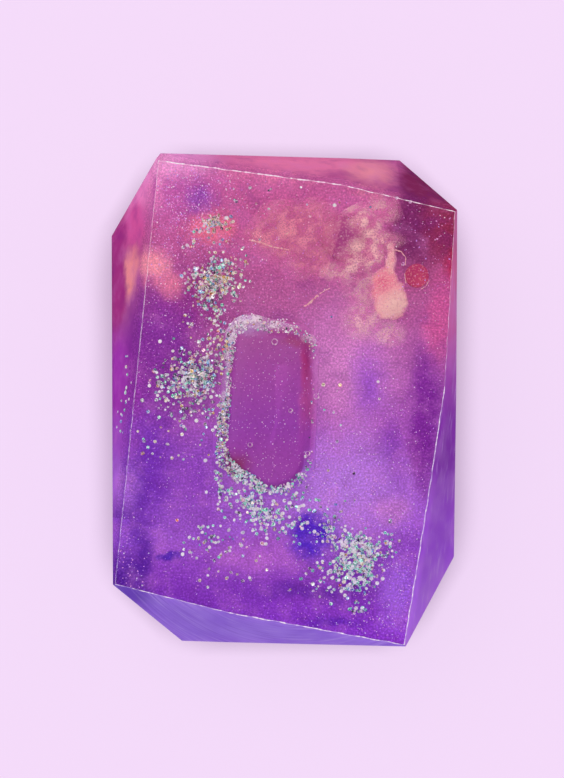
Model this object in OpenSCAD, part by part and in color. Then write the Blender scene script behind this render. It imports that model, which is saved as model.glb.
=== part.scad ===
// Gem-cut bar of clear melt-and-pour soap.
// A tinted core, poured in four colours, sits inside a clear overpour whose
// edges are cut into facets with a knife. Pre-cast pieces, mica films and
// pinches of glitter are sealed in the clear soap over the core.
// +Z is up, towards the large table face; +Y is the rose end. The origin is
// the middle of the back face, which the bar rests on.

/* [Block] */
// Length of the bar along Y; the whole plan follows it
bar_length = 80.6; // [66:0.2:96]
// Thickness from the back face to the table face
thickness = 28; // [24:0.5:34]

/* [Knife cuts] */
// Slope of the cuts round the table, below level
table_slope = 66; // [58:1:70]
// Slope of the cuts round the back face, above level
foot_slope = 48; // [40:1:58]
// Size of the back face as a share of the outline
foot_share = 0.87; // [0.82:0.01:0.92]

/* [Clear overpour] */
// Clear soap between the table face and the tinted core
face_cover = 4.2; // [4:0.1:4.8]
// Clear soap between the core and the back face
back_cover = 2.2; // [1.6:0.1:3]
// Size of the core as a share of the block's plan
core_share = 0.96; // [0.94:0.01:0.97]

/* [Insert] */
// Width of the pre-cast insert at its front face
insert_width = 11.8; // [10:0.2:12.2]
// Length of the insert at its front face
insert_length = 24.8; // [22.4:0.2:25.4]
// Depth of the insert, which stands a little way into the core
insert_depth = 5; // [4.4:0.1:7]
// How far the insert's walls lean out between its front and its back
insert_flare = 3; // [2:0.1:3.4]
// Clear soap over the insert's front face
insert_cover = 1; // [0.9:0.1:1.4]

/* [Glitter] */
// Width of one loose hexagonal flake, corner to corner
flake_width = 0.8; // [0.5:0.1:1]
// Thickness of one loose flake
flake_gauge = 0.12; // [0.08:0.01:0.16]

/* [Hidden] */

$fn = 48;
plan = bar_length / 80.6;        // plan sizes are drawn for a bar 80.6 long
reach = 2 * bar_length;          // longer than any cut
core_top = thickness - face_cover;
core_middle = thickness / 2;
seam_step = 4 * plan;            // spacing of points along a seam between pours
seam_end = 36 * plan;

// Outline of the block, clockwise from the left end of the rose edge
outline = plan * [
  [-20, 40.3], [19.5, 39.8], [28.5, 30.9], [28.5, -26.2],
  [20.1, -40.3], [-16.8, -40.3], [-27.7, -30.2], [-28.5, 27.2]
];

// Table face, clockwise: a hand-cut face, turned a little in the outline
table = plan * [
  [-20.2, 38.9], [9.4, 35], [28.1, 30.6], [26.4, 2],
  [19.8, -40], [-8.6, -34.8], [-27.3, -30.1]
];

// Seams between the pours, as Y along X
function rose_seam(x) = plan * (15.6 + 1.3 * sin(7 * x / plan));
function indigo_seam(x) = plan * (-18.2 + 1.5 * sin(6 * x / plan + 40));

// A clockwise list's edges as pairs of points
function edges(points) = [
  for (i = [0 : len(points) - 1]) [points[i], points[(i + 1) % len(points)]]
];

// Points of a sunflower spiral, which never crowd each other
function spiral(count, radii) = [
  for (i = [0 : count - 1])
    let (share = sqrt((i + 0.5) / count), angle = 137.5 * i)
      [radii[0] * share * cos(angle), radii[1] * share * sin(angle)]
];

// Frame at the first point of an edge: X along the edge, Y out of the block
module along(edge, z) {
  run = edge[1] - edge[0];
  translate([edge[0][0], edge[0][1], z])
    rotate([0, 0, atan2(run[1], run[0])])
      children();
}

// What a knife takes off outside one edge of the table
module table_cut(edge) {
  along(edge, thickness)
    rotate([-table_slope, 0, 0])
      translate([-reach, -reach, 0])
        cube([3 * reach, 3 * reach, reach]);
}

// What a knife takes off outside one edge of the back face
module foot_cut(edge) {
  along(edge, 0)
    rotate([foot_slope, 0, 0])
      translate([-reach, -reach, -reach])
        cube([3 * reach, 3 * reach, reach]);
}

// The outer shape of the bar
module block() {
  difference() {
    linear_extrude(thickness)
      polygon(outline);
    for (edge = edges(table))
      table_cut(edge);
    for (edge = edges(foot_share * outline))
      foot_cut(edge);
  }
}

// The tinted core: the same shape, smaller, flat front and back
module core() {
  intersection() {
    translate([0, 0, core_middle])
      scale(core_share)
        translate([0, 0, -core_middle])
          block();
    translate([-reach, -reach, back_cover])
      cube([2 * reach, 2 * reach, core_top - back_cover]);
  }
}

// Everything on the rose side of a seam
module beyond_rose_seam() {
  seam = [for (x = [-seam_end : seam_step : seam_end]) [x, rose_seam(x)]];
  linear_extrude(thickness)
    polygon(concat(seam, [[seam_end, reach], [-seam_end, reach]]));
}

// Everything on the indigo side of a seam
module beyond_indigo_seam() {
  seam = [for (x = [-seam_end : seam_step : seam_end]) [x, indigo_seam(x)]];
  linear_extrude(thickness)
    polygon(concat(seam, [[seam_end, -reach], [-seam_end, -reach]]));
}

// The corner of the core that was poured crimson
module crimson_corner() {
  linear_extrude(thickness)
    polygon(plan * [[17, 60], [20.5, 19.5], [60, 18], [60, 60]]);
}

// The pieces set into the core's surface
module core_chunks() {
  coral_chunk();
  deep_violet_chunk();
  blue_violet_chunk();
  indigo_chip();
}

module clear_overpour() {
  color([0.86, 0.62, 0.86, 0.4])
    difference() {
      block();
      core();
      insert_bar();
      glitter_collar();
      plum_disc();
      coral_teardrop();
      red_button();
      peach_film_left();
      peach_film_right();
      peach_crease();
      glitter_drifts();
      loose_flakes();
    }
}

module rose_pour() {
  color([0.78, 0.36, 0.6])
    difference() {
      intersection() {
        core();
        beyond_rose_seam();
      }
      crimson_corner();
      core_chunks();
    }
}

module crimson_pour() {
  color([0.56, 0.1, 0.32])
    intersection() {
      core();
      crimson_corner();
    }
}

module violet_pour() {
  color([0.58, 0.22, 0.64])
    difference() {
      core();
      beyond_rose_seam();
      beyond_indigo_seam();
      crimson_corner();
      core_chunks();
      insert_bar();
      glitter_collar();
    }
}

module indigo_pour() {
  color([0.47, 0.2, 0.72])
    difference() {
      intersection() {
        core();
        beyond_indigo_seam();
      }
      core_chunks();
    }
}

// The insert's front face: tight shoulders, a rounder foot bulging to the left
module insert_outline(grow) {
  corners = [[-2.5, 10, 2.4], [3.5, 9.7, 1.6], [1, -8.3, 4.2], [-2.3, -5.1, 4.3]];
  offset(delta = grow)
    scale([insert_width / 11.8, insert_length / 24.9])
      hull()
        for (corner = corners)
          translate([corner[0], corner[1]])
            circle(corner[2], $fn = 24);
}

// The insert's shape, leaning out from its front face to its back
module insert_solid(grow) {
  translate([plan * -2.2, plan * -1.2, thickness - insert_cover])
    rotate([180, 0, 0])
      linear_extrude(
        insert_depth,
        slices = 1,
        scale = [1 + 2 * insert_flare / insert_width, 1 + 2 * insert_flare / insert_length]
      )
        mirror([0, 1])
          insert_outline(grow);
}

module insert_bar() {
  color([0.62, 0.28, 0.64])
    insert_solid(0);
}

// Glitter stuck to the insert's wall, all round but for its right side
module glitter_collar() {
  collar_top = thickness - insert_cover - 0.3;
  color([0.8, 0.76, 0.82])
    difference() {
      insert_solid(0.7);
      insert_solid(0);
      translate([plan * 2.2, plan * -7, 0])
        cube([reach, plan * 16, reach]);
      translate([-reach, -reach, collar_top])
        cube(2 * reach);
      translate([-reach, -reach, core_top - 2 * reach])
        cube(2 * reach);
    }
}

// A ball of pre-cast soap pressed into the core, flush with its surface
module pressed_ball(centre, radius) {
  intersection() {
    core();
    translate([plan * centre[0], plan * centre[1], core_top - centre[2]])
      sphere(radius);
  }
}

module coral_chunk() {
  color([0.88, 0.5, 0.58])
    pressed_ball([-22, 20.6, 4.5], 6.2);
}

module deep_violet_chunk() {
  color([0.46, 0.1, 0.6])
    pressed_ball([25, -3, 5.2], 8);
}

module blue_violet_chunk() {
  color([0.3, 0.1, 0.78])
    pressed_ball([4.3, -23.2, 2.6], 4.6);
}

module indigo_chip() {
  color([0.26, 0.08, 0.72])
    pressed_ball([-18.8, -25.8, 1.2], 2.2);
}

// A round dab with sloping edges, front and back
module dab(width, depth) {
  rotate_extrude()
    polygon([
      [0, -depth / 2], [width * 0.36, -depth / 2], [width * 0.5, -depth * 0.12],
      [width * 0.5, depth * 0.12], [width * 0.36, depth / 2], [0, depth / 2]
    ]);
}

// Places a piece in the clear soap, its middle at a height over the core
module in_clear(place, lift) {
  translate([plan * place[0], plan * place[1], core_top + lift])
    children();
}

module plum_disc() {
  color([0.7, 0.3, 0.56])
    in_clear([10.2, 26.6], 1.2)
      dab(7, 0.9);
}

module coral_teardrop() {
  belly = 2.1;
  tip = 0.5;
  color([0.93, 0.6, 0.6])
    in_clear([17.1, 16.9], 1.4)
      linear_extrude(1.2)
        hull() {
          circle(belly, $fn = 32);
          translate([-0.4, 4.6])
            circle(tip, $fn = 24);
        }
}

module red_button() {
  color([0.72, 0.2, 0.4])
    in_clear([22, 20.1], 1.6)
      cylinder(h = 1.2, r = 2);
}

// A film of mica: a thin sheet with rounded lobes, each [x, y, radius]
module mica_film(lobes, gauge) {
  color([0.88, 0.56, 0.6])
    linear_extrude(gauge)
      hull()
        for (lobe = lobes)
          translate([lobe[0], lobe[1]])
            circle(lobe[2], $fn = 24);
}

module peach_film_left() {
  in_clear([0, 26.6], 2.4)
    mica_film([[-4.2, 0, 0.6], [1, 2, 3.2], [4.4, 1.6, 3], [2.8, -2.4, 2.6]], 0.3);
}

module peach_film_right() {
  in_clear([15.6, 28.4], 2.4)
    mica_film([[-1.4, 3.4, 1.4], [0, 0, 2.2], [0.6, -4.2, 1.6]], 0.3);
}

module peach_crease() {
  in_clear([5.2, 16.6], 2.6)
    mica_film([[-1.6, -1.3, 0.35], [1.8, 1.3, 0.35]], 0.3);
}

// A pinch of glitter set in clear soap: dabs run together, each [x, y, width]
module drift(dabs) {
  color([0.8, 0.78, 0.82])
    for (i = [0 : len(dabs) - 1])
      in_clear(dabs[i], 1.5 + 0.12 * i)
        dab(dabs[i][2], 2 + 0.1 * i);
}

module glitter_drift_gold() {
  drift([[-12.6, 28.2, 3.6], [-10.4, 29.2, 3.2]]);
}

module glitter_drift_upper() {
  drift([[-10.8, 21.2, 7.4], [-12.8, 17.6, 5]]);
}

module glitter_drift_left() {
  drift([[-15.6, 5.4, 7.4], [-18, 8.6, 4.4], [-19.2, 3.4, 4.8]]);
}

module glitter_drift_foot() {
  drift([[-5.8, -19.6, 4], [-2.6, -20.4, 4.4]]);
}

module glitter_drift_right() {
  drift([[11.6, -28.2, 8], [14.4, -24.8, 5], [8.6, -30.4, 5.2]]);
}

module glitter_drifts() {
  glitter_drift_gold();
  glitter_drift_upper();
  glitter_drift_left();
  glitter_drift_foot();
  glitter_drift_right();
}

// Separate hexagonal flakes, spread over an oval and tilted each its own way
module flakes(place, radii, count, seed) {
  tilts = rands(-32, 32, 2 * count, seed);
  lifts = rands(0.7, 3.2, count, seed + 1);
  spots = spiral(count, plan * radii);
  color([0.86, 0.82, 0.88])
    for (i = [0 : count - 1])
      in_clear(place, lifts[i])
        translate([spots[i][0], spots[i][1], 0])
          rotate([tilts[2 * i], tilts[2 * i + 1], 0])
            cylinder(h = flake_gauge, d = flake_width, center = true, $fn = 6);
}

module loose_flakes_left() {
  flakes([-18.6, -7.6], [4.6, 5], 16, 11);
}

module loose_flakes_foot() {
  flakes([-6.4, -27.6], [7.4, 4.4], 20, 23);
}

module loose_flakes_top() {
  flakes([-3, 33.8], [3.6, 1.6], 7, 37);
}

module loose_flakes() {
  loose_flakes_left();
  loose_flakes_foot();
  loose_flakes_top();
}

clear_overpour();
rose_pour();
crimson_pour();
violet_pour();
indigo_pour();
insert_bar();
glitter_collar();
coral_chunk();
deep_violet_chunk();
blue_violet_chunk();
indigo_chip();
plum_disc();
coral_teardrop();
red_button();
peach_film_left();
peach_film_right();
peach_crease();
glitter_drift_gold();
glitter_drift_upper();
glitter_drift_left();
glitter_drift_foot();
glitter_drift_right();
loose_flakes_left();
loose_flakes_foot();
loose_flakes_top();
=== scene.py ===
import math
import random

import bmesh
import bpy
from mathutils import Matrix, Vector, noise


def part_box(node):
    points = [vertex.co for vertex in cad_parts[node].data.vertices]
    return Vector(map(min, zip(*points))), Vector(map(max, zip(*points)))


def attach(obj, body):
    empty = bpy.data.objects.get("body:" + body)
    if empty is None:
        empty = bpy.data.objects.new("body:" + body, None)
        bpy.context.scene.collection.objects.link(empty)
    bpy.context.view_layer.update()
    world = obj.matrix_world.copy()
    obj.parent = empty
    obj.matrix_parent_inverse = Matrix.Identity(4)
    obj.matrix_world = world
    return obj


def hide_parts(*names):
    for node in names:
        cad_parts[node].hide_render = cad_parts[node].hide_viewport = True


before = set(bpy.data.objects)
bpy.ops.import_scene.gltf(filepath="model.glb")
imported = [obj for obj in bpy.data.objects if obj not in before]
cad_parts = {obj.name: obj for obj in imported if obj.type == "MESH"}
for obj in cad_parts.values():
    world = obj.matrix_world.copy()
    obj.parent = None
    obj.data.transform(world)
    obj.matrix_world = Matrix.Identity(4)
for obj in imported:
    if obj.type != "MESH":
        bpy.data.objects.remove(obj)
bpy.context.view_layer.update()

# Tinted core: rose, crimson, violet and indigo pours of glycerine soap.
# Each was poured against the last while that was still warm, so the colours
# run together. Mica rose to the face; the sides stayed smooth.

MM = 0.001


def dye(red, green, blue):
    """A dye's colour as a shader takes it."""
    def linear(part):
        part /= 255
        return part / 12.92 if part <= 0.04045 else ((part + 0.055) / 1.055) ** 2.4
    return (linear(red), linear(green), linear(blue), 1)


class Wire:
    """An output in a material's nodes; sums written with it add Math nodes."""

    def __init__(self, tree, port=None):
        self.tree, self.port = tree, port

    def node(self, kind, settings, inputs, out=0):
        """Adds a node: first its settings, then a value or a wire for each input."""
        made = self.tree.nodes.new("ShaderNode" + kind)
        for name, value in settings.items():
            if name == "stops":
                elements = made.color_ramp.elements
                while len(elements) < len(value):
                    elements.new(1)
                for element, (position, colour) in zip(elements, value):
                    element.position, element.color = position, colour
            else:
                setattr(made, name, value)
        for name, value in inputs.items():
            if isinstance(value, Wire):
                self.tree.links.new(value.port, made.inputs[name])
            else:
                made.inputs[name].default_value = value
        return Wire(self.tree, made.outputs[out])

    def maths(self, operation, first, second):
        """A Math node on two wires or numbers."""
        return self.node("Math", {"operation": operation}, {0: first, 1: second})

    def __add__(self, other):
        return self.maths("ADD", self, other)

    def __sub__(self, other):
        return self.maths("SUBTRACT", self, other)

    def __mul__(self, other):
        return self.maths("MULTIPLY", self, other)

    def __radd__(self, other):
        return self.maths("ADD", other, self)

    def __rsub__(self, other):
        return self.maths("SUBTRACT", other, self)

    def __rmul__(self, other):
        return self.maths("MULTIPLY", other, self)

    def vector(self, operation, other=None):
        """Vector Math with this wire first; LENGTH gives a number."""
        inputs = {0: self}
        if operation == "SCALE":
            inputs["Scale"] = other
        elif other is not None:
            inputs[1] = other
        return self.node("VectorMath", {"operation": operation}, inputs,
                         1 if operation == "LENGTH" else 0)

    def ease(self, low, high):
        """A smooth step from 0 at low to 1 at high, which may be the smaller."""
        return self.node("MapRange", {"interpolation_type": "SMOOTHSTEP"},
                         {"Value": self, "From Min": low, "From Max": high})

    def over(self, under, colour):
        """colour where this mask is 1, under where it is 0."""
        return self.node("Mix", {"data_type": "RGBA"}, {0: self, 6: under, 7: colour}, 2)

    def grain(self, size, detail=2.0, out=0):
        """Cloudy noise whose lumps are about size across."""
        return self.node("TexNoise", {}, {"Vector": self, "Scale": 1 / size, "Detail": detail}, out)

    def axis(self, which):
        """One part of a vector: 0, 1 or 2 for x, y or z."""
        return self.node("SeparateXYZ", {}, {0: self}, which)


def finish(name, paint, **constants):
    """A material: fixed values sit on its shader, and paint gives what varies."""
    material = bpy.data.materials.new(name)
    material.use_nodes = True
    tree = material.node_tree
    shader = tree.nodes["Principled BSDF"]
    for socket, value in constants.items():
        shader.inputs[socket.replace("_", " ")].default_value = value
    for socket, wire in paint(Wire(tree)).items():
        tree.links.new(wire.port, shader.inputs[socket])
    return material


def spot_in_mm(start):
    """Where on the bar a point is, in millimetres."""
    return start.node("TexCoord", {}, {}, 3).vector("SCALE", 1 / MM)


def dab(spot, centre, reach, soft):
    """1 inside a soft-edged blob of dye, 0 outside it."""
    away = spot.vector("SUBTRACT", centre).vector("DIVIDE", reach).vector("LENGTH")
    return away.ease(1 + soft, 1 - soft)


def swirl(spot, size, throw):
    """How far stirring moved the soap, in swirls about size across."""
    return spot.grain(size, 3.0, 1).vector("SUBTRACT", (0.5, 0.5, 0.5)).vector("SCALE", throw)


def along_bar(spot, length, stops):
    """Colours laid out along a length of the bar, centred on its middle."""
    share = spot.axis(1) * (1 / length) + 0.5
    return share.node("ValToRGB", {"stops": stops}, {0: share})


# The colours of the pours from the indigo end (0) to the rose end (1) of the bar
POURED_LENGTH = 84
POURED = [
    (0.03, dye(150, 54, 208)), (0.13, dye(136, 48, 188)), (0.19, dye(152, 70, 198)),
    (0.26, dye(172, 98, 214)), (0.35, dye(180, 106, 210)), (0.44, dye(178, 92, 194)),
    (0.54, dye(176, 90, 178)), (0.62, dye(180, 92, 166)), (0.69, dye(186, 94, 158)),
    (0.79, dye(192, 88, 152)), (0.87, dye(194, 88, 150)), (0.95, dye(204, 100, 160)),
]

# Dye that ran from one pour into the next: colour, centre, reach, softness
RUNS = {
    "magenta": ((164, 56, 140), (-16, 15, 24), (6.5, 6, 5), 0.7),
    "left purple": ((138, 40, 158), (-20.5, 6, 24), (7.5, 11, 6), 0.5),
    "left violet": ((120, 40, 184), (-23.4, -11.6, 24), (7, 9.4, 6), 0.6),
    "indigo corner": ((86, 4, 158), (-25.6, -25.6, 24), (3.8, 8.0, 6), 0.5),
    "plum": ((120, 16, 96), (21.6, 28.4, 17), (4.6, 7.6, 16), 0.4),
    "crimson": ((138, 14, 64), (27.6, 26.5, 17), (3.8, 9.0, 16), 0.7),
    "red": ((190, 20, 66), (28, 21, 22), (1.8, 4, 5), 0.6),
    "rose band": ((208, 92, 158), (25.6, 13.6, 24), (1.9, 6.6, 5), 0.7),
    "violet shade": ((132, 26, 158), (23.6, -4, 23), (2.5, 11, 6), 0.5),
    "orchid": ((216, 138, 204), (11.0, 5.0, 24), (6.6, 9, 5), 0.9),
    "violet glow": ((166, 88, 206), (14.2, 2, 24), (2.6, 4.8, 5), 1.0),
    "violet spot": ((140, 54, 182), (18, -9, 24), (2.2, 5.2, 5), 0.8),
    "lilac": ((192, 130, 228), (9.4, -14.6, 24), (7.9, 7.6, 5), 0.8),
    "mauve": ((206, 132, 216), (17.6, -18, 24), (2.4, 2.4, 5), 0.8),
    "clot": ((84, 22, 200), (4.5, -22.2, 24), (3.5, 3.4, 4), 0.4),
    "chip": ((76, 10, 176), (-18.6, -25.8, 24), (2.2, 0.9, 4), 0.6),
    "foot streak": ((112, 30, 172), (4.4, -31.6, 24), (7.5, 1.3, 5), 0.6),
    "foot tail": ((112, 28, 184), (8, -36.3, 24), (4.4, 0.8, 5), 0.7),
    "foot corner": ((166, 98, 220), (19, -32, 24), (3.4, 5, 5), 0.7),
    "rose light": ((194, 92, 168), (-16.5, 34.4, 23), (5.5, 4.6, 6), 0.8),
    "purple spot": ((158, 74, 176), (-13.4, 32.6, 24), (1.9, 1.8, 4), 0.8),
    "coral drift": ((246, 126, 152), (-12, 28, 24), (3.8, 2.4, 4), 0.7),
    "coral": ((250, 156, 172), (-20.6, 22.4, 24), (1.9, 2.0, 3), 0.8),
    "coral foot": ((226, 122, 158), (-18.9, 19.2, 24), (2.2, 1.9, 3), 0.8),
    "left shade": ((98, 22, 166), (-25.8, -15, 24), (3.2, 8, 5), 0.6),
    "foot shade": ((146, 64, 192), (-13.5, -13.5, 24), (4.6, 7, 5), 0.8),
    "foot mauve": ((184, 98, 206), (-4, -25.6, 24), (7, 2.8, 5), 0.9),
    "coral side": ((255, 166, 162), (-24.8, 21, 21), (2.6, 4.2, 3.2), 0.45),
    "left edge": ((176, 50, 138), (-27, 21, 14), (2.2, 11, 7), 0.4),
    "left rose": ((250, 150, 208), (-23, 36, 18), (3.6, 5.5, 9), 0.5),
    "left pink": ((226, 96, 170), (-24.6, 29.4, 20), (2.4, 4, 6), 0.5),
    "left side": ((174, 56, 188), (-27, 3, 15), (3.6, 9, 13), 0.5),
    "left middle": ((170, 80, 204), (-27, -7, 15), (3.6, 4, 13), 0.6),
    "left lavender": ((188, 116, 230), (-27, -14, 15), (3.6, 5.5, 13), 0.5),
    "left foot": ((160, 84, 218), (-27, -22, 15), (3.6, 6, 13), 0.5),
    "top pink": ((255, 176, 228), (-17, 39, 17), (6.5, 3.6, 9), 0.5),
    "top rose": ((246, 140, 182), (3, 40, 18), (14, 4.4, 9), 0.4),
    "top peach": ((255, 168, 180), (14.4, 37.4, 20), (3.4, 3, 7), 0.8),
    "top plum": ((134, 28, 82), (23.6, 36, 16), (4.2, 5.5, 12), 0.35),
    "right side": ((128, 40, 164), (27.6, -5, 11), (4, 14, 10), 0.6),
    "right foot": ((156, 80, 208), (27, -27, 11), (4, 9, 12), 0.6),
}


def soap(name, runs):
    """Tinted soap: the pours' shared colours, then the dye that ran in."""
    def paint(start):
        spot = spot_in_mm(start)
        run = spot.vector("ADD", swirl(spot, 6.5, 5.0)).vector("ADD", swirl(spot, 1.4, 2.0))
        colour = along_bar(run, POURED_LENGTH, POURED)
        for key in runs:
            tint, centre, reach, soft = RUNS[key]
            colour = dab(run, centre, reach, soft).over(colour, dye(*tint))
        cloud = spot.grain(3.2, 4.0)
        colour = (cloud.ease(0.46, 0.72) * 0.18).over(colour, dye(230, 140, 220))
        colour = (cloud.ease(0.5, 0.28) * 0.24).over(colour, dye(112, 20, 140))
        face = spot.axis(2).ease(core_top - 0.6, core_top - 0.1)
        flecks = {"Vector": spot, "Scale": 2.6, "Randomness": 1.0}
        mica = spot.node("TexVoronoi", {}, flecks)
        lit = spot.node("TexVoronoi", {}, flecks, 1)
        # partly pale mica, partly painted glint: some flecks on the face are a lit, brighter copy of
        # the soap's own colour
        fleck = mica.ease(0.34, 0.16) * lit.axis(0).ease(0.45, 0.95) * face
        bright = colour.vector("SCALE", 1.5).vector("ADD", (0.05, 0.035, 0.05))
        colour = (fleck * 0.6).over(colour, bright)
        dust = spot.grain(0.34, 1.0)
        colour = (dust.ease(0.5, 0.34) * face * 0.5).over(colour, colour.vector("SCALE", 0.6))
        colour = (dust.ease(0.52, 0.7) * face * 0.5).over(colour, bright)
        return {"Base Color": colour}
    return finish(name, paint, Roughness=0.5, Specular_IOR_Level=0.2)


core_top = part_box("violet_pour")[1].z / MM

core_dyes = {
    "violet_pour": soap("violet soap", [
        "magenta", "left purple", "left violet", "left shade", "foot shade", "orchid",
        "violet glow", "violet spot", "lilac", "mauve", "rose band", "violet shade", "left side",
        "left middle", "left lavender", "left edge", "right side",
    ]),
    "rose_pour": soap("rose soap", [
        "magenta", "left purple", "orchid", "rose light", "purple spot", "coral drift", "plum",
        "crimson", "red", "rose band", "coral", "coral foot", "left rose", "left pink", "coral side",
        "left side", "left edge", "top pink", "top rose", "top peach", "top plum",
    ]),
    "crimson_pour": soap("crimson soap", ["plum", "crimson", "red", "rose band", "top plum"]),
    "indigo_pour": soap("indigo soap", [
        "left violet", "left shade", "foot shade", "foot mauve", "lilac", "mauve", "clot", "chip",
        "foot streak", "foot tail", "foot corner", "indigo corner", "left lavender", "left foot",
        "right foot",
    ]),
    "coral_chunk": soap("coral soap", [
        "magenta", "left purple", "coral", "coral foot", "left pink", "coral side", "left edge",
    ]),
    "deep_violet_chunk": soap("deep violet soap", ["rose band", "violet shade", "right side"]),
    "blue_violet_chunk": soap("blue violet soap", ["foot mauve", "lilac", "clot"]),
    "indigo_chip": soap("indigo chip soap", ["left violet", "left shade", "chip"]),
}
for node, material in core_dyes.items():
    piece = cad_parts[node]
    piece.data.materials.clear()
    piece.data.materials.append(material)

# Bleed: tint that crept from the core to the edges of the face, and ran into
# the two sharpest corners of the block.

face_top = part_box("clear_overpour")[1].z / MM
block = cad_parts["clear_overpour"].data.vertices
table_corners = []
for vertex in block:
    corner = Vector((vertex.co.x / MM, vertex.co.y / MM))
    is_new = all((corner - other).length > 0.1 for other in table_corners)
    if vertex.co.z / MM > face_top - 0.01 and is_new:
        table_corners.append(corner)
table_corners.sort(key=lambda c: math.atan2(c.y, c.x))


def place(name, form, materials, slot, *nodes, smooth=True):
    """Puts a finished form on the bar, as the piece that stands for CAD nodes."""
    mesh = bpy.data.meshes.new(name)
    form.to_mesh(mesh)
    form.free()
    for material in materials:
        mesh.materials.append(material)
    mesh.polygons.foreach_set("use_smooth", [smooth] * len(mesh.polygons))
    piece = bpy.data.objects.new(name, mesh)
    bpy.context.scene.collection.objects.link(piece)
    piece.visible_shadow = False
    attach(piece, "root")
    if nodes:
        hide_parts(*nodes)
    return piece


def corner_near(x, y):
    """The corner of the table face that is nearest to a point."""
    return min(table_corners, key=lambda c: (c - Vector((x, y))).length)


TIP_REACH = 9         # how far a tip runs along the edges of the face
TIP_TOP = core_top - 0.02     # just under the top of the core


def tip(name, corner, runs, slot):
    """Fills the block's corner under the face, just inside the cuts."""
    form = bmesh.new()
    turn = table_corners.index(corner)
    points = [(corner * share, TIP_TOP) for share in (0.88, 1)]
    for other in (table_corners[turn - 1], table_corners[(turn + 1) % len(table_corners)]):
        points.append((corner + (other - corner).normalized() * TIP_REACH, TIP_TOP))
    for vertex in block:
        point = vertex.co / MM
        if point.z > 5 and (point.xy - corner).length < 3:
            points += [(point.xy * share, min(point.z - 1, TIP_TOP)) for share in (0.986, 0.9)]
    for point, z in points:
        form.verts.new(Vector((point.x, point.y, z)) * MM)
    bmesh.ops.convex_hull(form, input=form.verts)
    place(name, form, [soap(name.replace("_", " ") + " soap", runs)], slot, smooth=False)


tip("rose_tip", corner_near(-20, 39),
    ["rose light", "left rose", "left pink", "top pink", "top rose"], "rose_soap")
tip("indigo_tip", corner_near(20, -40), ["foot tail", "foot corner", "right foot"], "indigo_soap")

form = bmesh.new()
loops = []
for share, drop in ((0.93, 0.03), (1.0, 0.03), (0.98, 2.4)):
    loops.append([form.verts.new(Vector((corner.x * share, corner.y * share, core_top - drop)) * MM)
                  for corner in table_corners])
for low, high in zip(loops, loops[1:]):
    for k in range(len(low)):
        form.faces.new((low[k - 1], low[k], high[k], high[k - 1]))
place("edge_bleed", form, [soap("bled soap", list(RUNS))], "violet_soap", smooth=False)

# Insert: a small bar of plum-violet soap, cast first and laid in the clear
# soap just under the face. Its walls lean out to its back; the right wall
# shows crimson, and glitter sticks to the others.

insert_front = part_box("insert_bar")[1].z / MM
insert_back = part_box("insert_bar")[0].z / MM
INSERT_LENGTH = 28
WALL_LEAN = 0.6       # how far a wall goes out for each millimetre down
# The four rounded corners of its front: centre and radius
INSERT = [(-5.2, 8.6, 2.4), (1.7, 8.2, 1.7), (-4.7, -7.3, 4.2), (-1.4, -9.6, 4.1)]


def rim(lobes, angle, grow=0.0):
    """The furthest point along an angle of the outline round some lobes."""
    out = Vector((math.cos(angle), math.sin(angle)))
    x, y, radius = max(lobes, key=lambda lobe: lobe[0] * out.x + lobe[1] * out.y + lobe[2])
    return Vector((x, y)) + out * (radius + grow)


def outside(lobes, x, y, turns=40):
    """How far a point lies outside the outline; negative when inside."""
    gaps = []
    for k in range(turns):
        angle = math.tau * k / turns
        edge = rim(lobes, angle)
        gaps.append((x - edge.x) * math.cos(angle) + (y - edge.y) * math.sin(angle))
    return max(gaps)


noise.seed_set(7)     # the same wobble each time


def cast(lobes, rings, turns=96, wobble=0.0, seed=0):
    """A closed piece lofted through rings, each (share of the outline, grow, z)."""
    form = bmesh.new()
    centre = sum((Vector(lobe[:2]) for lobe in lobes), Vector((0, 0))) / len(lobes)
    loops = []
    for share, grow, z in rings:
        loop = []
        for k in range(turns):
            edge = rim(lobes, math.tau * k / turns, grow)
            point = centre + (edge - centre) * share
            shift = noise.noise_vector(Vector((point.x * 0.35, point.y * 0.35, z * 0.4 + seed)))
            loop.append(form.verts.new((Vector((point.x, point.y, z)) + shift * wobble) * MM))
        loops.append(loop)
    for low, high in zip(loops, loops[1:]):
        for k in range(turns):
            form.faces.new((low[k - 1], low[k], high[k], high[k - 1]))
    form.faces.new(reversed(loops[0]))
    form.faces.new(loops[-1])
    bmesh.ops.recalc_face_normals(form, faces=form.faces)
    return form


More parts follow.
